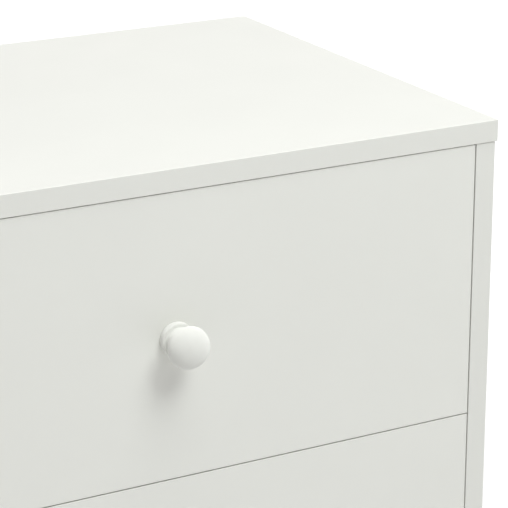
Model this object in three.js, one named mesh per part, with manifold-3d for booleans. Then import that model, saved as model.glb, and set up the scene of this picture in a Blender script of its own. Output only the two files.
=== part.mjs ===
// Small white chest of three inset drawers with round knobs, built from flat-pack board.
// Millimetres, +Z up, the drawer fronts face -Y and +X is the right-hand end seen from the front.
// The origin is on the floor, under the middle of the whole piece, knobs included.
import * as THREE from "three";
import { mergeVertices } from "three/addons/utils/BufferGeometryUtils.js";
import Module from "manifold-3d";

const wasm = await Module();
wasm.setup();

// Driving dimensions
const WIDTH = 520;
const DEPTH = 395;
const HEIGHT = 700;
const BOARD = 16; // top, sides, bottom, plinth and drawer fronts
const BOX_BOARD = 12; // drawer sides and backs
const HARDBOARD = 3; // back panel and drawer bottoms
const TOP_REVEAL = 0.7; // from the top panel to the uppermost drawer front
const MIDDLE_REVEAL = 0.9; // between one drawer front and the next
const SIDE_REVEAL = 1; // at the ends of a drawer front
const FIT = 0.3; // clearance between pieces that rest on each other
const TOP_OVERHANG_SIDE = 1.5;
const TOP_OVERHANG_FRONT = 1;
const FRONT_HEIGHT = 209.1;
const GROOVE_DEPTH = 6;
const KNOB_LENGTH = 31;
const GLIDE_HEIGHT = 4;
const STEEL = 1.2; // runner sheet

// Places worked out from them
const KNOB_STANDS_OUT = KNOB_LENGTH + FIT - TOP_OVERHANG_FRONT; // past the top panel
const TOP_FRONT_Y = (KNOB_STANDS_OUT - DEPTH) / 2;
const FACE_Y = TOP_FRONT_Y + TOP_OVERHANG_FRONT; // the plane of the drawer fronts
const REAR_Y = TOP_FRONT_Y + DEPTH;
const SIDE_OUTER_X = WIDTH / 2 - TOP_OVERHANG_SIDE;
const SIDE_INNER_X = SIDE_OUTER_X - BOARD;
const TOP_UNDER_Z = HEIGHT - BOARD;
const FRONT_PITCH = FRONT_HEIGHT + MIDDLE_REVEAL;
const KNOB_RISE = FRONT_HEIGHT / 2; // from the lower edge of a drawer front to the knob's axis
const LOWEST_FRONT_Z = TOP_UNDER_Z - TOP_REVEAL - FRONT_HEIGHT - 2 * FRONT_PITCH;
const BACK_PANEL_Y = REAR_Y - 21; // its front face
const BACK_GROOVE_Y = BACK_PANEL_Y - FIT;
const PLINTH_SETBACK = 30;
const BOTTOM_SETBACK = 1; // behind the back of the lowest drawer front

// Drawer box, with z measured from the lower edge of its front
const RUNNER_SPACE = 12.5;
const BOX_OUTER_X = SIDE_INNER_X - RUNNER_SPACE;
const BOX_INNER_X = BOX_OUTER_X - BOX_BOARD;
const BOX_FRONT_Y = FACE_Y + BOARD + FIT;
const BOX_REAR_Y = FACE_Y + BOARD + 350;
const BOX_UNDER_Z = 24;
const BOX_HEIGHT = 140;
const BOTTOM_RISE = 8; // from the lower edge of the drawer sides to the drawer bottom

// Roller runners, with the track as the height that the rear roller runs on
const TRACK_Z = BOX_UNDER_Z - FIT - STEEL;
const RUNNER_FRONT_Y = FACE_Y + BOARD + 2;
const RUNNER_REAR_Y = BOX_REAR_Y - 2;
const CHANNEL_INSIDE = 19;
const ROLLER_RADIUS = 9.2;
const ROLLER_WIDTH = 6.8;
const AXLE_RADIUS = 2.2;
const ROLLER_BORE_RADIUS = 2.45;
const AXLE_HEAD_RADIUS = 3.5;
const AXLE_HEAD = 0.8;
const FRONT_ROLLER_Y = RUNNER_FRONT_Y + 13;
const REAR_ROLLER_Y = RUNNER_REAR_Y - 13;
const LIP_START_Y = FRONT_ROLLER_Y + ROLLER_RADIUS + 4;
const WEB_INNER_X = SIDE_INNER_X - FIT - STEEL; // room side of the cabinet member's web
const BOX_WEB_X = BOX_OUTER_X + FIT + STEEL; // outer side of the drawer member's web
const RAIL_CLEARANCE = 0.8; // from the channel's upper lip to the drawer member's rail
const RAIL_Z = TRACK_Z + CHANNEL_INSIDE + STEEL + RAIL_CLEARANCE;
const FRONT_ROLLER_Z = RAIL_Z - FIT - ROLLER_RADIUS;
const REAR_ROLLER_Z = TRACK_Z + CHANNEL_INSIDE / 2;
const SCREW_STATIONS = [35, 163, 291]; // from the front end of a runner
const FIXING_HOLE_RADIUS = 2.2;
const SLOT_OFFSET = 16; // from a fixing hole to the middle of its slot
const SLOT_LENGTH = 5; // between the centres of its round ends
const ROUND_SIDES = 16;
const KNOB_SIDES = 28;

const material = (color, roughness, metalness = 0) =>
  new THREE.MeshStandardMaterial({ color, roughness, metalness });
const whiteFoil = material(0xf1f1ec, 0.45);
const boxFoil = material(0xf3f3f0, 0.55);
const whiteHardboard = material(0xecece8, 0.7);
const whiteLacquer = material(0xf7f7f3, 0.25);
const whiteEnamel = material(0xeeeeea, 0.4, 0.1);
const nylon = material(0xe4e3da, 0.5);
const glidePlastic = material(0xd9d9d4, 0.6);
const zincPlate = material(0xb9bcc0, 0.35, 0.9);

const root = new THREE.Group();

function place(parent, name, geometry, finish, x = 0, y = 0, z = 0) {
  const mesh = new THREE.Mesh(geometry, finish);
  mesh.name = name;
  mesh.position.set(x, y, z);
  parent.add(mesh);
  return mesh;
}

// A box by its limits along each axis
function block([x0, x1], [y0, y1], [z0, z1]) {
  const geometry = new THREE.BoxGeometry(Math.abs(x1 - x0), Math.abs(y1 - y0), Math.abs(z1 - z0));
  return geometry.translate((x0 + x1) / 2, (y0 + y1) / 2, (z0 + z1) / 2);
}

function solid(geometry) {
  const bare = geometry.index ? geometry.toNonIndexed() : geometry.clone();
  bare.deleteAttribute("normal");
  bare.deleteAttribute("uv");
  const merged = mergeVertices(bare, 1e-3);
  return new wasm.Manifold(
    new wasm.Mesh({
      numProp: 3,
      vertProperties: merged.attributes.position.array,
      triVerts: new Uint32Array(merged.index.array),
    }),
  );
}

function geometryOf(manifold) {
  const mesh = manifold.getMesh();
  const geometry = new THREE.BufferGeometry();
  geometry.setAttribute("position", new THREE.BufferAttribute(mesh.vertProperties, 3));
  geometry.setIndex(new THREE.BufferAttribute(mesh.triVerts, 1));
  geometry.computeVertexNormals();
  return geometry;
}

function cut(geometry, ...tools) {
  return geometryOf(tools.reduce((left, tool) => left.subtract(solid(tool)), solid(geometry)));
}

function join(...geometries) {
  return geometryOf(geometries.map(solid).reduce((all, next) => all.add(next)));
}

// A cylinder along X between two x values
function rodAlongX(x0, x1, radius, y, z) {
  const geometry = new THREE.CylinderGeometry(radius, radius, Math.abs(x1 - x0), ROUND_SIDES);
  return geometry.rotateZ(Math.PI / 2).translate((x0 + x1) / 2, y, z);
}

// A cylinder along Y between two y values
function rodAlongY(y0, y1, radius, x, z) {
  const geometry = new THREE.CylinderGeometry(radius, radius, Math.abs(y1 - y0), ROUND_SIDES);
  return geometry.translate(x, (y0 + y1) / 2, z);
}

// A cylinder along Z between two z values
function rodAlongZ(z0, z1, radius, x, y) {
  const geometry = new THREE.CylinderGeometry(radius, radius, Math.abs(z1 - z0), ROUND_SIDES);
  return geometry.rotateX(Math.PI / 2).translate(x, y, (z0 + z1) / 2);
}

// ---- Carcass ----

function sidePanel(hand) {
  const outer = hand * SIDE_OUTER_X;
  const inner = hand * SIDE_INNER_X;
  const board = block([inner, outer], [FACE_Y, REAR_Y], [GLIDE_HEIGHT + FIT, TOP_UNDER_Z - FIT]);
  const groove = block(
    [inner - hand, inner + hand * GROOVE_DEPTH],
    [BACK_GROOVE_Y, BACK_GROOVE_Y + HARDBOARD + 2 * FIT],
    [0, HEIGHT],
  );
  return cut(board, groove);
}

function backPanel() {
  const halfWidth = SIDE_INNER_X + GROOVE_DEPTH - FIT;
  return block(
    [-halfWidth, halfWidth],
    [BACK_PANEL_Y, BACK_PANEL_Y + HARDBOARD],
    [LOWEST_FRONT_Z, TOP_UNDER_Z - FIT],
  );
}

// A nail-on glide: a disc with a softened rim
function glide() {
  const radius = 7;
  const rim = 1;
  const profile = [
    [0, 0],
    [radius - rim, 0],
    [radius, rim],
    [radius, GLIDE_HEIGHT],
    [0, GLIDE_HEIGHT],
  ];
  const points = profile.map(([r, y]) => new THREE.Vector2(r, y));
  return new THREE.LatheGeometry(points, ROUND_SIDES).rotateX(Math.PI / 2);
}

// The tip-over bracket: an angle under the top, level with the rear edge, with a hole for a wall screw
const BRACKET_WIDTH = 30;
const BRACKET_DROP = 42;
const BRACKET_STEEL = 1.5;
const BRACKET_CORNER = 6; // radius of its lower corners
const BRACKET_SCREW_Y = REAR_Y - 9.5;
const BRACKET_HOLE_Z = TOP_UNDER_Z - 28;

function wallBracket() {
  const across = [-BRACKET_WIDTH / 2, BRACKET_WIDTH / 2];
  const upper = TOP_UNDER_Z - FIT;
  const bracketFront = BACK_PANEL_Y + HARDBOARD + 0.8;
  const shelf = block(across, [bracketFront, REAR_Y], [upper - BRACKET_STEEL, upper]);
  const thickness = [REAR_Y - BRACKET_STEEL, REAR_Y];
  const cornerX = BRACKET_WIDTH / 2 - BRACKET_CORNER;
  const cornerZ = upper - BRACKET_DROP + BRACKET_CORNER;
  const plate = join(
    block(across, thickness, [cornerZ, upper]),
    block([-cornerX, cornerX], thickness, [upper - BRACKET_DROP, upper]),
    rodAlongY(...thickness, BRACKET_CORNER, -cornerX, cornerZ),
    rodAlongY(...thickness, BRACKET_CORNER, cornerX, cornerZ),
  );
  const wallHole = rodAlongY(REAR_Y - 5, REAR_Y + 5, 3, 0, BRACKET_HOLE_Z);
  const screwHole = rodAlongZ(upper - 5, upper + 5, 2.2, 0, BRACKET_SCREW_Y);
  return cut(join(shelf, plate), wallHole, screwHole);
}

const BRACKET_SCREW_LENGTH = 12;

function bracketScrew() {
  const head = 4;
  const shank = 1.8;
  const headDrop = 2;
  const profile = [
    [0, -headDrop],
    [head - 1, -headDrop],
    [head, -headDrop + 0.9],
    [head, -FIT],
    [shank, -FIT],
    [shank, BRACKET_SCREW_LENGTH - 2],
    [0, BRACKET_SCREW_LENGTH],
  ];
  const points = profile.map(([r, y]) => new THREE.Vector2(r, y));
  return new THREE.LatheGeometry(points, ROUND_SIDES).rotateX(Math.PI / 2);
}

function addCarcass() {
  const screwSeatZ = TOP_UNDER_Z - FIT - BRACKET_STEEL;
  const screwPilot = rodAlongZ(TOP_UNDER_Z - 12, TOP_UNDER_Z + 12, 2.1, 0, BRACKET_SCREW_Y);
  const topBoard = block([-WIDTH / 2, WIDTH / 2], [TOP_FRONT_Y, REAR_Y], [TOP_UNDER_Z, HEIGHT]);
  place(root, "top_panel", cut(topBoard, screwPilot), whiteFoil);
  place(root, "right_side_panel", sidePanel(1), whiteFoil);
  place(root, "left_side_panel", sidePanel(-1), whiteFoil);

  const between = SIDE_INNER_X - FIT;
  const bottomFront = FACE_Y + BOARD + BOTTOM_SETBACK;
  const bottomBoard = block(
    [-between, between],
    [bottomFront, BACK_GROOVE_Y - FIT],
    [LOWEST_FRONT_Z, LOWEST_FRONT_Z + BOARD],
  );
  place(root, "bottom_panel", bottomBoard, whiteFoil);
  const plinthFront = FACE_Y + PLINTH_SETBACK;
  const plinth = block(
    [-between, between],
    [plinthFront, plinthFront + BOARD],
    [GLIDE_HEIGHT + FIT, LOWEST_FRONT_Z - FIT],
  );
  place(root, "plinth_rail", plinth, whiteFoil);
  place(root, "back_panel", backPanel(), whiteHardboard);

  const glideX = (SIDE_OUTER_X + SIDE_INNER_X) / 2;
  for (const [side, hand] of [["left", -1], ["right", 1]]) {
    place(root, `front_${side}_glide`, glide(), glidePlastic, hand * glideX, FACE_Y + 25, 0);
    place(root, `rear_${side}_glide`, glide(), glidePlastic, hand * glideX, REAR_Y - 40, 0);
  }
  place(root, "wall_bracket", wallBracket(), zincPlate);
  place(root, "wall_bracket_screw", bracketScrew(), zincPlate, 0, BRACKET_SCREW_Y, screwSeatZ);
}

// ---- Runners ----

// Cutters for a runner's web: a round hole at every screw station and a round-ended slot behind it
function webHoles(hand) {
  const reach = [hand * (BOX_OUTER_X - 2), hand * (SIDE_INNER_X + 2)];
  const z = TRACK_Z + CHANNEL_INSIDE / 2;
  const hole = (y) => rodAlongX(...reach, FIXING_HOLE_RADIUS, y, z);
  return SCREW_STATIONS.flatMap((station) => {
    const y = RUNNER_FRONT_Y + station;
    const slotEnds = [y + SLOT_OFFSET - SLOT_LENGTH / 2, y + SLOT_OFFSET + SLOT_LENGTH / 2];
    const between = [z - FIXING_HOLE_RADIUS, z + FIXING_HOLE_RADIUS];
    return [hole(y), block(reach, slotEnds, between), ...slotEnds.map(hole)];
  });
}

// Cutters for the foot under a drawer side: a hole up into the board at every screw station
function footHoles(hand) {
  const x = hand * (BOX_INNER_X + BOX_BOARD / 2);
  return SCREW_STATIONS.map((station) =>
    rodAlongZ(TRACK_Z - 2, TRACK_Z + 4, FIXING_HOLE_RADIUS, x, RUNNER_FRONT_Y + station),
  );
}

// The channel screwed to the cabinet side: a web, a lower flange as track, an upper lip and the
// front roller's axle. hand is 1 on the right and -1 on the left.
function cabinetRunner(hand) {
  const web = hand * WEB_INNER_X;
  const back = hand * (WEB_INNER_X + STEEL);
  const flangeTip = hand * (BOX_WEB_X + 1.2);
  const lipTip = hand * (BOX_WEB_X + 3.5);
  const lengthwise = [RUNNER_FRONT_Y, RUNNER_REAR_Y];
  const lipZ = TRACK_Z + CHANNEL_INSIDE;
  const axleEnd = hand * (BOX_WEB_X + 1.7);
  const headEnd = hand * (BOX_WEB_X + 1.7 - AXLE_HEAD);
  const axle = [FRONT_ROLLER_Y, FRONT_ROLLER_Z];
  const member = join(
    block([web, back], lengthwise, [TRACK_Z - STEEL, lipZ + STEEL]),
    block([flangeTip, back], lengthwise, [TRACK_Z - STEEL, TRACK_Z]),
    block([lipTip, back], [LIP_START_Y, RUNNER_REAR_Y], [lipZ, lipZ + STEEL]),
    rodAlongX(axleEnd, back, AXLE_RADIUS, ...axle),
    rodAlongX(headEnd, axleEnd + hand * 0.1, AXLE_HEAD_RADIUS, ...axle),
  );
  return cut(member, ...webHoles(hand));
}

// The member screwed under and beside the drawer side: a foot under the side, a web, an outward
// rail that rides on the front roller, and the rear roller's axle.
function drawerRunner(hand) {
  const foot = hand * BOX_INNER_X;
  const inner = hand * (BOX_WEB_X - STEEL);
  const outer = hand * BOX_WEB_X;
  const railTip = hand * (WEB_INNER_X - 1);
  const lengthwise = [RUNNER_FRONT_Y, RUNNER_REAR_Y];
  const axleEnd = hand * (WEB_INNER_X - 1.8);
  const headEnd = hand * (WEB_INNER_X - 1.8 + AXLE_HEAD);
  const axle = [REAR_ROLLER_Y, REAR_ROLLER_Z];
  const member = join(
    block([foot, outer], lengthwise, [TRACK_Z, TRACK_Z + STEEL]),
    block([inner, outer], lengthwise, [TRACK_Z, RAIL_Z + STEEL]),
    block([inner, railTip], lengthwise, [RAIL_Z, RAIL_Z + STEEL]),
    rodAlongX(inner, axleEnd, AXLE_RADIUS, ...axle),
    rodAlongX(axleEnd - hand * 0.1, headEnd, AXLE_HEAD_RADIUS, ...axle),
  );
  return cut(member, ...webHoles(hand), ...footHoles(hand));
}

// A nylon roller with a flat tread and softened rims, spinning about X
function roller() {
  const half = ROLLER_WIDTH / 2;
  const rim = 0.8;
  const profile = [
    [ROLLER_BORE_RADIUS, -half],
    [ROLLER_RADIUS - rim, -half],
    [ROLLER_RADIUS, -half + rim],
    [ROLLER_RADIUS, half - rim],
    [ROLLER_RADIUS - rim, half],
    [ROLLER_BORE_RADIUS, half],
    [ROLLER_BORE_RADIUS, -half],
  ];
  const points = profile.map(([r, y]) => new THREE.Vector2(r, y));
  return new THREE.LatheGeometry(points, ROUND_SIDES).rotateZ(Math.PI / 2);
}

// ---- Drawers ----

// The outline of the knob, from its bore to its tip: a rounded collar, a waist and an oblate head
function knobProfile() {
  const bore = 2.3;
  const boreDepth = 13;
  const collarRadius = 12.3;
  const collarThickness = 5.3;
  const collarRound = 1;
  const waistRadius = 9.7;
  const headRadius = 15.3;
  const headCentre = 20;
  const headBack = 9;
  const headFront = KNOB_LENGTH - headCentre;
  const points = [
    [0, boreDepth],
    [bore, boreDepth],
    [bore, 0],
    [collarRadius - 0.6, 0],
    [collarRadius, 0.6],
  ];
  // An elliptical arc about (middle, out), with the angle measured from square to the axis
  const arc = (middle, out, sizeAcross, sizeAlong, from, to, steps) => {
    for (let i = 0; i <= steps; i++) {
      const angle = from + ((to - from) * i) / steps;
      const radius = Math.max(middle + sizeAcross * Math.cos(angle), 0);
      points.push([radius, out + sizeAlong * Math.sin(angle)]);
    }
  };
  const quarterTurn = Math.PI / 2;
  const collarEdge = collarRadius - collarRound;
  arc(collarEdge, collarThickness - collarRound, collarRound, collarRound, 0, quarterTurn, 2);
  points.push([waistRadius + 0.6, collarThickness], [waistRadius, collarThickness + 0.6]);
  const underHead = -Math.acos((waistRadius + 0.6) / headRadius);
  arc(0, headCentre, headRadius, headBack, underHead, 0, 3);
  arc(0, headCentre, headRadius, headFront, quarterTurn / 6, quarterTurn, 5);
  return points.map(([radius, out]) => new THREE.Vector2(radius, out));
}

function knob() {
  return new THREE.LatheGeometry(knobProfile(), KNOB_SIDES).rotateZ(Math.PI);
}

// A pan-head machine screw; its head bears on the back of the drawer front
function knobScrew() {
  const shank = 2;
  const head = 4.2;
  const headHeight = 2.6;
  const reach = BOARD + 10;
  const profile = [
    [0, -reach],
    [shank - 0.5, -reach],
    [shank, -reach + 0.6],
    [shank, FIT],
    [head, FIT],
    [head, FIT + 1.2],
    [head - 0.9, FIT + headHeight - 0.4],
    [0, FIT + headHeight],
  ];
  const points = profile.map(([r, y]) => new THREE.Vector2(r, y));
  return new THREE.LatheGeometry(points, ROUND_SIDES);
}

// The slot that holds the drawer bottom, wide enough to pass right through a side or into a front
function bottomGroove(xLimits, yLimits) {
  const z0 = BOX_UNDER_Z + BOTTOM_RISE - FIT;
  return block(xLimits, yLimits, [z0, z0 + HARDBOARD + 2 * FIT]);
}

function drawerFront() {
  const halfWidth = SIDE_INNER_X - SIDE_REVEAL;
  const back = FACE_Y + BOARD;
  const slab = block([-halfWidth, halfWidth], [FACE_Y, back], [0, FRONT_HEIGHT]);
  const grooveEnd = BOX_INNER_X + GROOVE_DEPTH;
  return cut(
    slab,
    rodAlongY(FACE_Y - 5, back + 5, 2.5, 0, KNOB_RISE),
    bottomGroove([-grooveEnd, grooveEnd], [back - GROOVE_DEPTH, back + 1]),
  );
}

function drawerSide(hand) {
  const inner = hand * BOX_INNER_X;
  const outer = hand * BOX_OUTER_X;
  const upright = [BOX_UNDER_Z, BOX_UNDER_Z + BOX_HEIGHT];
  const board = block([inner, outer], [BOX_FRONT_Y, BOX_REAR_Y], upright);
  const grooveFloor = inner + hand * GROOVE_DEPTH;
  return cut(board, bottomGroove([inner - hand, grooveFloor], [BOX_FRONT_Y - 1, BOX_REAR_Y + 1]));
}

function drawerBack() {
  const halfWidth = BOX_INNER_X - FIT;
  const lower = BOX_UNDER_Z + BOTTOM_RISE + HARDBOARD + FIT;
  return block(
    [-halfWidth, halfWidth],
    [BOX_REAR_Y - BOX_BOARD, BOX_REAR_Y],
    [lower, BOX_UNDER_Z + BOX_HEIGHT],
  );
}

function drawerBottom() {
  const halfWidth = BOX_INNER_X + GROOVE_DEPTH - FIT;
  const lower = BOX_UNDER_Z + BOTTOM_RISE;
  const front = FACE_Y + BOARD - GROOVE_DEPTH + FIT;
  return block([-halfWidth, halfWidth], [front, BOX_REAR_Y], [lower, lower + HARDBOARD]);
}

function addDrawer(level, frontZ) {
  const drawer = new THREE.Group();
  drawer.position.z = frontZ;
  root.add(drawer);
  place(drawer, `${level}_drawer_front`, drawerFront(), whiteFoil);
  place(drawer, `${level}_drawer_back`, drawerBack(), boxFoil);
  place(drawer, `${level}_drawer_bottom`, drawerBottom(), whiteHardboard);
  place(drawer, `${level}_knob`, knob(), whiteLacquer, 0, FACE_Y - FIT, KNOB_RISE);
  place(drawer, `${level}_knob_screw`, knobScrew(), zincPlate, 0, FACE_Y + BOARD, KNOB_RISE);
  for (const [side, hand] of [["left", -1], ["right", 1]]) {
    place(drawer, `${level}_drawer_${side}_side`, drawerSide(hand), boxFoil);
    place(drawer, `${level}_${side}_drawer_runner`, drawerRunner(hand), whiteEnamel);
    place(drawer, `${level}_${side}_cabinet_runner`, cabinetRunner(hand), whiteEnamel);
    const rollerX = hand * ((WEB_INNER_X + BOX_WEB_X) / 2);
    const frontX = rollerX + hand * 0.6;
    const rearX = rollerX - hand * 0.6;
    const front = [frontX, FRONT_ROLLER_Y, FRONT_ROLLER_Z];
    const rear = [rearX, REAR_ROLLER_Y, REAR_ROLLER_Z];
    place(drawer, `${level}_${side}_cabinet_roller`, roller(), nylon, ...front);
    place(drawer, `${level}_${side}_drawer_roller`, roller(), nylon, ...rear);
  }
}

addCarcass();
["bottom", "middle", "top"].forEach((level, i) => {
  addDrawer(level, LOWEST_FRONT_Z + i * FRONT_PITCH);
});

export default root;
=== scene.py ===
"""Looks for the small white chest of drawers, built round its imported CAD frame.

The boards, runners and wall bracket are the frame's own solids, with softened edges and
procedural finishes. The knobs, rollers, glides and screws are turned here at full smoothness in
place of the frame's, and the small fasteners that the frame leaves out are added. Lengths are in
metres unless a comment says otherwise.
"""

import math

import bpy
from mathutils import Matrix, Vector


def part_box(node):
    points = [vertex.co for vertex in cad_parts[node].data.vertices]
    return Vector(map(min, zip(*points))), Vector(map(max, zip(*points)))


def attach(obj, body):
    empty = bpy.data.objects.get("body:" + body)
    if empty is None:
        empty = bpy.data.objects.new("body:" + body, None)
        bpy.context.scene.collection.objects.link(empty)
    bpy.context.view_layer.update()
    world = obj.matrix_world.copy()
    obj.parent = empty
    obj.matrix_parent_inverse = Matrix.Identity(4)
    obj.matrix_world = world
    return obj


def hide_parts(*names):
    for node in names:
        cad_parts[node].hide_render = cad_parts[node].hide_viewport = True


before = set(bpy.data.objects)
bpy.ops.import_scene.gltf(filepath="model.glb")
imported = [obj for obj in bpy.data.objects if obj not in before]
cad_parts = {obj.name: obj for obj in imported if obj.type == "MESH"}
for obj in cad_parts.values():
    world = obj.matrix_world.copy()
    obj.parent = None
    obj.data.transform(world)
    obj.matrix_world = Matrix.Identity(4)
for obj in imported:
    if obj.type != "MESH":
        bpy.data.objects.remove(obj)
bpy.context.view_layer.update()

MM = 0.001
LEVELS = ("bottom", "middle", "top")
HANDS = {"left": -1, "right": 1}
ALONG_X = Vector((1.0, 0.0, 0.0))
ALONG_Y = Vector((0.0, 1.0, 0.0))
ALONG_Z = Vector((0.0, 0.0, 1.0))
RUNNER_STEEL = 1.2 * MM
SCREW_STATIONS = (35 * MM, 163 * MM, 291 * MM)  # from the front end of a runner
MAP_RANGE_SOCKETS = ("From Min", "From Max", "To Min", "To Max")


# ---- Materials ----

def set_limits(node, low, high, to_low, to_high):
    """Sets a Map Range node's limits."""
    for socket, number in zip(MAP_RANGE_SOCKETS, (low, high, to_low, to_high)):
        node.inputs[socket].default_value = number


class Finish:
    """A Principled material, with short calls for the nodes that feed it."""

    def __init__(self, name, color, roughness, metallic=0.0, specular=0.5):
        self.material = bpy.data.materials.new(name)
        self.material.use_nodes = True
        self.tree = self.material.node_tree
        self.shader = self.tree.nodes["Principled BSDF"]
        self.place = self.add("ShaderNodeTexCoord").outputs["Object"]
        self.set("Base Color", (*color, 1.0))
        self.set("Roughness", roughness)
        self.set("Metallic", metallic)
        self.set("Specular IOR Level", specular)

    def add(self, kind, **settings):
        node = self.tree.nodes.new(kind)
        for key, value in settings.items():
            setattr(node, key, value)
        return node

    def set(self, socket, value):
        self.shader.inputs[socket].default_value = value

    def link(self, source, target):
        if isinstance(source, (int, float)):
            target.default_value = source
        else:
            self.tree.links.new(source, target)

    def math(self, operation, first, second=0.0, clamp=False):
        node = self.add("ShaderNodeMath", operation=operation, use_clamp=clamp)
        self.link(first, node.inputs[0])
        self.link(second, node.inputs[1])
        return node.outputs[0]

    def noise(self, feature, detail=2.0, stretch=(1, 1, 1)):
        """Noise whose lumps are about `feature` metres across, as a 0 to 1 value."""
        place = self.place
        if stretch != (1, 1, 1):
            mapping = self.add("ShaderNodeMapping")
            mapping.inputs["Scale"].default_value = stretch
            self.tree.links.new(place, mapping.inputs["Vector"])
            place = mapping.outputs["Vector"]
        node = self.add("ShaderNodeTexNoise")
        node.inputs["Scale"].default_value = 1.0 / feature
        node.inputs["Detail"].default_value = detail
        self.tree.links.new(place, node.inputs["Vector"])
        return node.outputs["Fac"]

    def remap(self, value, low, high, to_low, to_high):
        node = self.add("ShaderNodeMapRange")
        self.link(value, node.inputs["Value"])
        set_limits(node, low, high, to_low, to_high)
        return node.outputs["Result"]

    def tint(self, factor, color):
        """Mixes `color` into the base colour by `factor`, over what is there already."""
        node = self.add("ShaderNodeMix", data_type="RGBA")
        self.link(factor, node.inputs["Factor"])
        before = self.shader.inputs["Base Color"]
        if before.is_linked:
            self.tree.links.new(before.links[0].from_socket, node.inputs["A"])
        else:
            node.inputs["A"].default_value = before.default_value
        node.inputs["B"].default_value = (*color, 1.0)
        self.tree.links.new(node.outputs["Result"], before)

    def rough(self, value):
        self.tree.links.new(value, self.shader.inputs["Roughness"])

    def bump(self, height, strength, distance):
        """Adds a bump over any bump that is there already."""
        node = self.add("ShaderNodeBump")
        node.inputs["Strength"].default_value = strength
        node.inputs["Distance"].default_value = distance
        self.tree.links.new(height, node.inputs["Height"])
        normal = self.shader.inputs["Normal"]
        if normal.is_linked:
            self.tree.links.new(normal.links[0].from_socket, node.inputs["Normal"])
        self.tree.links.new(node.outputs["Normal"], normal)


def shade(color, factor):
    return tuple(channel * factor for channel in color)


def border_distance(finish, low, high):
    """Distance, inside a board's box, from a point on a face to that face's nearest edge."""
    gaps = []
    for first, second in ((finish.place, tuple(low)), (tuple(high), finish.place)):
        node = finish.add("ShaderNodeVectorMath", operation="SUBTRACT")
        for socket, value in zip(node.inputs, (first, second)):
            if isinstance(value, tuple):
                socket.default_value = value
            else:
                finish.tree.links.new(value, socket)
        gaps.append(node.outputs["Vector"])
    nearest = finish.add("ShaderNodeVectorMath", operation="MINIMUM")
    finish.tree.links.new(gaps[0], nearest.inputs[0])
    finish.tree.links.new(gaps[1], nearest.inputs[1])
    split = finish.add("ShaderNodeSeparateXYZ")
    finish.tree.links.new(nearest.outputs["Vector"], split.inputs[0])
    x, y, z = split.outputs
    # the face's own axis gives about zero, so the middle one of the three is the nearest edge
    smaller = finish.math("MINIMUM", x, y)
    larger = finish.math("MAXIMUM", x, y)
    return finish.math("MAXIMUM", smaller, finish.math("MINIMUM", larger, z)), split.outputs


BAND_THICKNESS = 1.1 * MM  # edge banding, glued on round a board


def board_finish(node, name, color, roughness, grain):
    """Foil on board: a faint pearl in the foil, softer gloss at handled edges, a hairline glue
    joint where the edge band meets the face."""
    low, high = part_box(node)
    finish = Finish(f"{name}_{node}", color, roughness)
    finish.tint(finish.remap(finish.noise(0.12, 3.0), 0.35, 0.65, 0.0, 1.0), shade(color, 0.988))
    pearl = finish.noise(grain, 3.0)
    finish.tint(finish.remap(pearl, 0.62, 0.78, 0.0, 0.5), shade(color, 0.975))
    edge, axes = border_distance(finish, low, high)
    thin = min(range(3), key=lambda axis: high[axis] - low[axis])
    on_face = finish.math("LESS_THAN", axes[thin], 0.3 * MM)
    off_joint = finish.math("ABSOLUTE", finish.math("SUBTRACT", edge, BAND_THICKNESS))
    finish.tint(finish.math("SUBTRACT", 1.0, on_face), shade(color, 0.958))
    hairline = finish.remap(off_joint, 0.04 * MM, 0.12 * MM, 0.35, 0.0)
    joint = finish.math("MULTIPLY", hairline, on_face)
    finish.tint(joint, shade(color, 0.72))
    worn = finish.remap(edge, 0.0, 2.5 * MM, 0.06, 0.0)
    cloud = finish.remap(finish.noise(0.035, 4.0), 0.3, 0.7, roughness - 0.03, roughness + 0.03)
    finish.rough(finish.math("ADD", cloud, worn))
    finish.bump(pearl, 0.10, 0.02 * MM)
    finish.bump(finish.noise(0.018, 2.0), 0.05, 0.05 * MM)
    return finish.material


def hardboard_finish():
    """White-lacquered hardboard: short fibres pressed flat under the paint."""
    color = (0.765, 0.765, 0.735)
    finish = Finish("white_hardboard", color, 0.55)
    fibres = finish.noise(0.0011, 4.0, stretch=(1.0, 0.55, 0.8))
    finish.tint(finish.remap(fibres, 0.55, 0.75, 0.0, 0.6), shade(color, 0.93))
    finish.tint(finish.remap(finish.noise(0.06, 3.0), 0.4, 0.7, 0.0, 1.0), shade(color, 0.98))
    finish.rough(finish.remap(finish.noise(0.004, 3.0), 0.3, 0.7, 0.48, 0.64))
    finish.bump(fibres, 0.25, 0.05 * MM)
    return finish.material


def knob_finish():
    """Sprayed white lacquer on a turned knob, with a trace of orange peel."""
    color = (0.822, 0.828, 0.796)
    finish = Finish("knob_lacquer", color, 0.48, specular=0.18)
    finish.set("Diffuse Roughness", 0.8)
    finish.tint(finish.remap(finish.noise(0.006, 3.0), 0.4, 0.7, 0.0, 1.0), shade(color, 0.985))
    finish.rough(finish.remap(finish.noise(0.003, 4.0), 0.3, 0.7, 0.44, 0.52))
    finish.bump(finish.noise(0.0016, 2.0), 0.05, 0.01 * MM)
    return finish.material


def enamel_finish():
    """White epoxy powder coat on folded steel."""
    color = (0.79, 0.79, 0.765)
    finish = Finish("runner_enamel", color, 0.38)
    peel = finish.noise(0.0009, 2.0)
    finish.tint(finish.remap(finish.noise(0.02, 3.0), 0.4, 0.7, 0.0, 1.0), shade(color, 0.97))
    finish.rough(finish.remap(finish.noise(0.005, 3.0), 0.3, 0.7, 0.33, 0.45))
    finish.bump(peel, 0.18, 0.04 * MM)
    return finish.material


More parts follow.
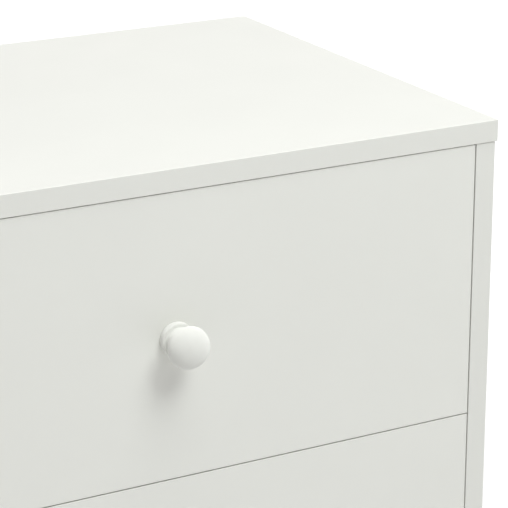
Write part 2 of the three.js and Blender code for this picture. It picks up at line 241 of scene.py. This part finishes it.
def nylon_finish():
    """Off-white moulded nylon, a little grey where it rolls."""
    color = (0.70, 0.69, 0.63)
    finish = Finish("roller_nylon", color, 0.5)
    finish.tint(finish.remap(finish.noise(0.002, 4.0), 0.5, 0.75, 0.0, 0.7), shade(color, 0.86))
    finish.rough(finish.remap(finish.noise(0.0012, 3.0), 0.3, 0.7, 0.42, 0.58))
    finish.bump(finish.noise(0.0006, 2.0), 0.15, 0.03 * MM)
    return finish.material


def glide_finish():
    """Pale grey polyethylene with a spark-eroded texture."""
    color = (0.60, 0.60, 0.58)
    finish = Finish("glide_plastic", color, 0.6)
    grain = finish.noise(0.0005, 2.0)
    finish.tint(finish.remap(grain, 0.5, 0.75, 0.0, 0.6), shade(color, 0.85))
    finish.rough(finish.remap(grain, 0.3, 0.7, 0.52, 0.68))
    finish.bump(grain, 0.3, 0.05 * MM)
    return finish.material


def zinc_finish():
    """Bright zinc plate: cloudy, with fine drawing marks."""
    color = (0.50, 0.51, 0.535)
    finish = Finish("zinc_steel", color, 0.34, metallic=1.0)
    marks = finish.noise(0.0006, 3.0, stretch=(1.0, 1.0, 0.12))
    finish.tint(finish.remap(finish.noise(0.006, 3.0), 0.35, 0.75, 0.0, 1.0), shade(color, 0.92))
    finish.rough(finish.remap(finish.noise(0.004, 3.0), 0.3, 0.7, 0.29, 0.39))
    finish.bump(marks, 0.12, 0.02 * MM)
    return finish.material


WHITE = (0.805, 0.812, 0.772)
DRAWER_WHITE = (0.80, 0.805, 0.775)
HARDBOARD = hardboard_finish()
KNOB = knob_finish()
ENAMEL = enamel_finish()
NYLON = nylon_finish()
GLIDE = glide_finish()
ZINC = zinc_finish()


# ---- The frame's own solids ----

def dress(node, material, softening, segments=3):
    """Gives a CAD node its finish and softens its edges."""
    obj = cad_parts[node]
    obj.data.materials.clear()
    obj.data.materials.append(material)
    obj.data.shade_smooth()
    weld = obj.modifiers.new("weld", "WELD")
    weld.merge_threshold = 0.002 * MM
    bevel = obj.modifiers.new("soften", "BEVEL")
    bevel.width = softening
    bevel.segments = segments
    bevel.limit_method = "ANGLE"
    bevel.angle_limit = math.radians(50)
    obj.modifiers.new("normals", "WEIGHTED_NORMAL")


def dress_frame():
    def foil(node):
        return board_finish(node, "white_foil", WHITE, 0.42, 0.9 * MM)

    def drawer_foil(node):
        return board_finish(node, "drawer_foil", DRAWER_WHITE, 0.5, 0.7 * MM)

    for node in ("top_panel", "bottom_panel", "plinth_rail"):
        dress(node, foil(node), 0.45 * MM)
    for node in ("left_side_panel", "right_side_panel"):
        dress(node, foil(node), 0.55 * MM)
    dress("back_panel", HARDBOARD, 0.3 * MM, 2)
    dress("wall_bracket", ZINC, 0.3 * MM, 2)
    for level in LEVELS:
        front = f"{level}_drawer_front"
        dress(front, foil(front), 0.35 * MM)
        for part in ("left_side", "right_side", "back"):
            node = f"{level}_drawer_{part}"
            dress(node, drawer_foil(node), 0.5 * MM, 2)
        dress(f"{level}_drawer_bottom", HARDBOARD, 0.3 * MM, 2)
        for side in HANDS:
            for member in ("cabinet", "drawer"):
                dress(f"{level}_{side}_{member}_runner", ENAMEL, 0.3 * MM, 2)


# ---- Turned pieces ----

def arc(centre, size, start, end, steps):
    """Points (radius, out) on an elliptical arc, with angles in degrees from square to the axis."""
    points = []
    for step in range(steps + 1):
        angle = math.radians(start + (end - start) * step / steps)
        points.append((centre[0] + size[0] * math.cos(angle), centre[1] + size[1] * math.sin(angle)))
    return points


def turned(name, profile, sides=96, sharp=40):
    """A closed mesh turned about +Z from (radius, height) points in millimetres. They start and
    end on the axis, or else the last joins the first and the piece is a ring."""
    points = []
    rings = []
    for radius, height in profile:
        count = sides if radius > 1e-6 else 1
        rings.append([len(points) + side for side in range(count)])
        for side in range(count):
            angle = 2 * math.pi * side / sides
            points.append((radius * math.cos(angle) * MM, radius * math.sin(angle) * MM, height * MM))
    pairs = list(zip(rings, rings[1:]))
    if len(rings[0]) > 1:
        pairs.append((rings[-1], rings[0]))
    faces = []
    for lower, upper in pairs:
        for side in range(sides):
            after = (side + 1) % sides
            if len(lower) == 1:
                faces.append((lower[0], upper[after], upper[side]))
            elif len(upper) == 1:
                faces.append((lower[side], lower[after], upper[0]))
            else:
                faces.append((lower[side], lower[after], upper[after], upper[side]))
    mesh = bpy.data.meshes.new(name)
    mesh.from_pydata(points, [], faces)
    mesh.shade_smooth()
    mesh.set_sharp_from_angle(angle=math.radians(sharp))
    return mesh


def put(name, mesh, body, place, outward=ALONG_Z, instead_of=None):
    """Adds a piece with its own +Z turned outward, riding on a body."""
    piece = bpy.data.objects.new(name, mesh)
    bpy.context.scene.collection.objects.link(piece)
    piece.location = place
    piece.rotation_euler = ALONG_Z.rotation_difference(outward).to_euler()
    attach(piece, body)
    if instead_of:
        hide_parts(instead_of)
    return piece


def middle(node):
    low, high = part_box(node)
    return (low + high) / 2


# ---- Knobs ----

def knob_profile(length):
    """A rounded collar, a waist and an oblate head, as (radius, out) in millimetres."""
    collar = 12.3
    collar_round = 1.0
    collar_thick = 5.6
    waist = 9.7
    head = 15.3
    head_centre = 20.3
    head_back = 9.0
    head_front = length - head_centre
    points = [(0.0, 0.0), (collar - 0.5, 0.0)]
    points += arc((collar - 0.5, 0.5), (0.5, 0.5), -60, 0, 3)
    rim_centre = (collar - collar_round, collar_thick - collar_round)
    points += arc(rim_centre, (collar_round, collar_round), 0, 90, 10)
    points += arc((waist + 0.8, collar_thick + 0.8), (-0.8, -0.8), 90, 0, 5)
    under = -math.degrees(math.acos((waist + 0.6) / head))
    points += arc((0.0, head_centre), (head, head_back), under, 0, 14)
    points += arc((0.0, head_centre), (head, head_front), 5, 90, 18)
    points[-1] = (0.0, points[-1][1])
    return points


def add_knobs():
    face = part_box("top_drawer_front")[0].y
    mesh = turned("knob", knob_profile((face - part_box("top_knob")[0].y) / MM))
    mesh.materials.append(KNOB)
    for level in LEVELS:
        axis = middle(f"{level}_knob")
        seat = Vector((axis.x, face, axis.z))
        put(f"{level}_turned_knob", mesh, f"{level}_drawer", seat, -ALONG_Y,
            f"{level}_knob")


# ---- Rollers, axles and glides ----

def add_rollers():
    """Nylon wheels with a hub and a shallow dish on each side, and the rivets they turn on."""
    radius, half, bore = 9.2, 3.4, 2.45
    rim, hub, dish = 7.6, 4.2, 0.7
    side_face = [
        (bore, -half),
        (hub, -half),
        (hub + 0.5, dish - half),
        (rim - 0.5, dish - half),
        (rim, -half),
    ]
    side_face += arc((radius - 0.6, 0.6 - half), (0.6, 0.6), -90, 0, 5)
    wheel = turned("roller", side_face + [(r, -z) for r, z in reversed(side_face)], 72, 30)
    wheel.materials.append(NYLON)
    head_thick = 0.9
    crown = [(3.62, 0.0), (3.4, 0.12), (2.2, 0.22), (0.0, 0.25)]
    outline = [(0.0, 0.0), (3.62, 0.0)] + [(r, head_thick + rise) for r, rise in crown]
    rivet = turned("axle_rivet", outline, 40)
    rivet.materials.append(ENAMEL)
    for level in LEVELS:
        for side, hand in HANDS.items():
            # the cabinet's axle ends towards the drawer, and the drawer's towards the cabinet
            for member, body, way, reach in (
                ("cabinet", "carcass", -hand, min),
                ("drawer", f"{level}_drawer", hand, max),
            ):
                node = f"{level}_{side}_{member}_roller"
                spot = middle(node)
                put(f"{node}_wheel", wheel, node, spot, ALONG_X, node)
                low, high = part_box(f"{level}_{side}_{member}_runner")
                spot.x = hand * reach(abs(low.x), abs(high.x)) - way * head_thick * MM
                put(f"{node}_rivet", rivet, body, spot, ALONG_X * way)


def add_glides():
    """Moulded glides: a softened foot under a plain disc."""
    radius, height = 7.0, 4.3
    profile = [(0.0, 0.0)] + arc((radius - 1.4, 1.4), (1.4, 1.4), -90, 0, 6)
    profile += [(radius, height - 0.4), (radius - 0.3, height), (0.0, height)]
    mesh = turned("glide", profile, 64)
    mesh.materials.append(GLIDE)
    for corner in ("front_left", "front_right", "rear_left", "rear_right"):
        spot = middle(f"{corner}_glide")
        put(f"{corner}_moulded_glide", mesh, "carcass", (spot.x, spot.y, 0.0), ALONG_Z,
            f"{corner}_glide")


# ---- Screws, cam fittings and nails ----

def wing(across, width, depth, turn):
    """One wing of a cross recess, narrowing as it goes down from just above z = 0."""
    corners = []
    for z, spread, thickness in ((0.4, across, width), (-depth, across * 0.45, width * 0.7)):
        for x, y in ((-1, -1), (1, -1), (1, 1), (-1, 1)):
            point = Vector((x * spread / 2, y * thickness / 2, z)) * MM
            corners.append(Matrix.Rotation(turn, 3, "Z") @ point)
    faces = [(3, 2, 1, 0), (4, 5, 6, 7)] + [(i, (i + 1) % 4, 4 + (i + 1) % 4, 4 + i) for i in range(4)]
    faces = [tuple(reversed(face)) for face in faces]
    mesh = bpy.data.meshes.new("wing")
    mesh.from_pydata(corners, [], faces)
    return mesh


def with_cross(mesh, top, across, width, depth):
    """Cuts a cross recess into a turned head whose top is at height `top`, in millimetres."""
    blank = bpy.data.objects.new("blank", mesh)
    tools = []
    for turn in (0.0, math.pi / 2):
        tool = bpy.data.objects.new("wing", wing(across, width, depth, turn))
        tool.location.z = top * MM
        cut = blank.modifiers.new("cut", "BOOLEAN")
        cut.object = tool
        cut.operation = "DIFFERENCE"
        cut.solver = "EXACT"
        tools.append(tool)
    for obj in (blank, *tools):
        bpy.context.scene.collection.objects.link(obj)
    depsgraph = bpy.context.evaluated_depsgraph_get()
    carved = bpy.data.meshes.new_from_object(blank.evaluated_get(depsgraph))
    carved.name = mesh.name
    for obj in (blank, *tools):
        bpy.data.objects.remove(obj)
    carved.shade_smooth()
    carved.set_sharp_from_angle(angle=math.radians(35))
    carved.materials.clear()
    carved.materials.append(ZINC)
    return carved


def pan_screw(name, head, height, shank, reach):
    """A pan head on a plain shank; the head bears at z = 0 and the shank goes down."""
    crown = arc((head - 0.9, height - 0.9), (0.9, 0.9), 0, 60, 5)
    profile = [(0.0, -reach), (shank * 0.7, -reach), (shank, 0.6 - reach), (shank, 0.0), (head - 0.1, 0.0)]
    profile += [(head, 0.2)] + crown + [(0.0, height)]
    return with_cross(turned(name, profile, 40), height, head * 1.15, 0.9, height * 0.85)


def flat_screw(name, head, proud):
    """The part of a flat-headed wood screw that shows: a thin disc with a softened rim."""
    profile = [(0.0, -0.5), (head, -0.5), (head, proud * 0.5), (head - 0.35, proud), (0.0, proud)]
    return with_cross(turned(name, profile, 40), proud, head * 1.1, 0.85, proud + 0.35)


def add_knob_screws():
    screw = pan_screw("machine_screw", 4.2, 2.6, 2.0, 24.0)
    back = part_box("top_drawer_front")[1].y
    for level in LEVELS:
        axis = middle(f"{level}_knob_screw")
        seat = Vector((axis.x, back, axis.z))
        put(f"{level}_knob_pan_screw", screw, f"{level}_drawer", seat, ALONG_Y,
            f"{level}_knob_screw")


def add_bracket_screw():
    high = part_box("wall_bracket_screw")[1]
    shelf_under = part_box("wall_bracket")[1].z - 1.5 * MM
    screw = pan_screw("bracket_screw", 4.0, 2.0, 1.8, (high.z - shelf_under) / MM)
    spot = middle("wall_bracket_screw")
    seat = Vector((spot.x, spot.y, shelf_under))
    put("wall_bracket_pan_screw", screw, "carcass", seat, -ALONG_Z, "wall_bracket_screw")


def add_runner_screws():
    web_screw = flat_screw("runner_screw", 3.8, 0.6)
    foot_screw = flat_screw("runner_foot_screw", 3.8, 1.1)
    for level in LEVELS:
        for side, hand in HANDS.items():
            node = f"{level}_{side}_cabinet_runner"
            low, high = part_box(node)
            web_x = hand * (max(abs(low.x), abs(high.x)) - RUNNER_STEEL)
            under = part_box(f"{level}_{side}_drawer_runner")[0].z
            board_x = middle(f"{level}_drawer_{side}_side").x
            for number, station in enumerate(SCREW_STATIONS, 1):
                y = low.y + station
                put(f"{node}_screw_{number}", web_screw, "carcass",
                    Vector((web_x, y, (low.z + high.z) / 2)), ALONG_X * -hand)
                put(f"{level}_{side}_drawer_runner_screw_{number}", foot_screw, f"{level}_drawer",
                    Vector((board_x, y, under)), -ALONG_Z)


def add_box_screws():
    """Two screws through each drawer side into the end of the drawer back."""
    screw = flat_screw("box_screw", 3.6, 0.35)
    for level in LEVELS:
        back = middle(f"{level}_drawer_back")
        low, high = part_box(f"{level}_drawer_back")
        for side, hand in HANDS.items():
            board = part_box(f"{level}_drawer_{side}_side")
            outer = board[1].x if hand > 0 else board[0].x
            for number, share in enumerate((0.25, 0.8), 1):
                spot = Vector((outer, back.y, low.z + share * (high.z - low.z)))
                put(f"{level}_drawer_{side}_box_screw_{number}", screw, f"{level}_drawer",
                    spot, ALONG_X * hand)


def add_cams():
    """Cam fittings, 15 mm discs set flush in the boards, 34 mm from the joint that they draw up."""
    radius, proud, inset = 7.4, 0.25, 34 * MM
    profile = [(0.0, -0.6), (radius, -0.6), (radius, proud - 0.25), (radius - 0.25, proud), (5.4, proud),
               (5.1, proud - 0.3), (3.9, proud - 0.3), (3.6, proud), (0.0, proud)]
    cam = with_cross(turned("cam", profile, 56), proud, 6.0, 1.3, 0.7)
    top_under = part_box("top_panel")[0].z
    bottom_low, bottom_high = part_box("bottom_panel")
    plinth_low, plinth_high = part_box("plinth_rail")
    for side, hand in HANDS.items():
        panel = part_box(f"{side}_side_panel")
        inner = panel[0].x if hand > 0 else panel[1].x
        for end, y in (("front", panel[0].y + 50 * MM), ("rear", bottom_high.y - 37 * MM)):
            put(f"{side}_{end}_top_cam", cam, "carcass",
                Vector((inner, y, top_under - inset)), ALONG_X * -hand)
            put(f"{side}_{end}_bottom_cam", cam, "carcass",
                Vector((inner - hand * inset, y, bottom_low.z)), -ALONG_Z)
        put(f"{side}_plinth_cam", cam, "carcass",
            Vector((inner - hand * inset, plinth_high.y, (plinth_low.z + plinth_high.z) / 2)), ALONG_Y)
        for level in LEVELS:
            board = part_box(f"{level}_drawer_{side}_side")
            face = board[0].x if hand > 0 else board[1].x
            spot = Vector((face, board[0].y + inset, board[0].z + 82 * MM))
            put(f"{level}_drawer_{side}_cam", cam, f"{level}_drawer", spot, ALONG_X * -hand)


def add_nails():
    """Round-headed nails through the foot of the back panel into the bottom panel."""
    nail = turned("nail", [(0.0, -0.3), (2.1, -0.3), (2.1, 0.25), (1.7, 0.55), (0.0, 0.62)], 28)
    nail.materials.append(ZINC)
    low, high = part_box("back_panel")
    z = middle("bottom_panel").z
    count = 7
    for number in range(count):
        x = low.x + 30 * MM + (high.x - low.x - 60 * MM) * number / (count - 1)
        put(f"back_panel_nail_{number + 1}", nail, "carcass", Vector((x, high.y, z)), ALONG_Y)


# ---- Stage, light and camera ----

def add_floor():
    size = 40.0
    mesh = bpy.data.meshes.new("floor")
    corners = [(-size, -size, 0.0), (size, -size, 0.0), (size, size, 0.0), (-size, size, 0.0)]
    mesh.from_pydata(corners, [], [(0, 1, 2, 3)])
    paper = Finish("floor_paper", (0.74, 0.74, 0.74), 0.9, specular=0.2)
    paper.rough(paper.remap(paper.noise(0.05, 3.0), 0.3, 0.7, 0.86, 0.94))
    mesh.materials.append(paper.material)
    floor = bpy.data.objects.new("floor", mesh)
    bpy.context.scene.collection.objects.link(floor)
    floor.location.z = -0.05 * MM


SKY = 0.37
HORIZON = 0.70
HORIZON_FADE = 0.12  # the sine of the height at which the horizon's glow has faded to the sky
SKY_COLOR = (1.0, 0.972, 0.965)
KEY_COLOR = (0.985, 1.02, 1.0)
# for each lamp: the spot it is aimed at, the direction from there to it, its distance and width,
# and the radiance that it gives a white surface facing it
KEY = ((0.0, -0.21, 0.58), (0.21, -0.56, 0.80), 2.0, 0.96, 0.485)
BACKDROP = ((1.5, 2.3, 0.0), (0.0, 0.05, 1.0), 4.6, 1.0, 0.75)
BACKDROP_CONE = 70  # degrees
# a broad sun: the direction to it, the angle it spans in degrees and its strength
OVERHEAD = ((0.06, -0.04, 1.0), 40, 1.66)


def add_lamp(name, light, towards):
    lamp = bpy.data.objects.new(name, light)
    bpy.context.scene.collection.objects.link(lamp)
    lamp.rotation_mode = "QUATERNION"
    lamp.rotation_quaternion = (-towards).to_track_quat("-Z", "Y")
    return lamp


def add_light():
    world = bpy.data.worlds.new("studio")
    bpy.context.scene.world = world
    world.use_nodes = True
    tree = world.node_tree
    background = tree.nodes["Background"]
    place = tree.nodes.new("ShaderNodeTexCoord")
    split = tree.nodes.new("ShaderNodeSeparateXYZ")
    fade = tree.nodes.new("ShaderNodeMapRange")
    fade.interpolation_type = "SMOOTHSTEP"
    tree.links.new(place.outputs["Generated"], split.inputs[0])
    tree.links.new(split.outputs["Z"], fade.inputs["Value"])
    set_limits(fade, 0.0, HORIZON_FADE, HORIZON, SKY)
    tree.links.new(fade.outputs["Result"], background.inputs["Strength"])
    background.inputs["Color"].default_value = (*SKY_COLOR, 1.0)
    target, direction, distance, width, level = KEY
    towards = Vector(direction).normalized()
    light = bpy.data.lights.new("key", "AREA")
    light.shape = "DISK"
    light.size = width
    light.color = KEY_COLOR
    light.energy = level * (math.pi * distance) ** 2
    add_lamp("key", light, towards).location = Vector(target) + towards * distance
    target, direction, distance, width, level = BACKDROP
    towards = Vector(direction).normalized()
    light = bpy.data.lights.new("backdrop", "SPOT")
    light.spot_size = math.radians(BACKDROP_CONE)
    light.spot_blend = 0.9
    light.shadow_soft_size = width / 2
    light.energy = level * (2 * math.pi * distance) ** 2
    add_lamp("backdrop", light, towards).location = Vector(target) + towards * distance
    towards = Vector(OVERHEAD[0]).normalized()
    light = bpy.data.lights.new("overhead", "SUN")
    light.angle = math.radians(OVERHEAD[1])
    light.energy = OVERHEAD[2]
    add_lamp("overhead", light, towards)


# the camera's yaw, pitch and roll in degrees, its lens in millimetres, and its place from the top
# panel's front right-hand corner
CAMERA_TURN = (27.787, 18.909, -0.228)
CAMERA_LENS = 147.75
CAMERA_OFFSET = Vector((-0.8333, -1.2025, 0.3958))


def add_camera():
    """Looks down at the top right-hand corner from the front left."""
    yaw, pitch, roll = (math.radians(angle) for angle in CAMERA_TURN)
    ahead = Vector((
        math.sin(yaw) * math.cos(pitch),
        math.cos(yaw) * math.cos(pitch),
        -math.sin(pitch),
    ))
    level_right = Vector((math.cos(yaw), -math.sin(yaw), 0.0))
    level_up = level_right.cross(ahead)
    right = math.cos(roll) * level_right + math.sin(roll) * level_up
    up = -math.sin(roll) * level_right + math.cos(roll) * level_up
    low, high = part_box("top_panel")
    corner = Vector((high.x, low.y, high.z))
    eye = corner + CAMERA_OFFSET
    camera = bpy.data.cameras.new("camera")
    camera.sensor_width = 36.0
    camera.lens = CAMERA_LENS
    camera.clip_start = 0.05
    camera.clip_end = 100.0
    obj = bpy.data.objects.new("camera", camera)
    bpy.context.scene.collection.objects.link(obj)
    obj.matrix_world = Matrix.Translation(eye) @ Matrix((right, up, -ahead)).transposed().to_4x4()
    bpy.context.scene.camera = obj
    bpy.context.scene.view_settings.view_transform = "Standard"


add_camera()
add_light()
add_floor()
dress_frame()
add_knobs()
add_rollers()
add_glides()
add_knob_screws()
add_bracket_screw()
add_runner_screws()
add_box_screws()
add_cams()
add_nails()
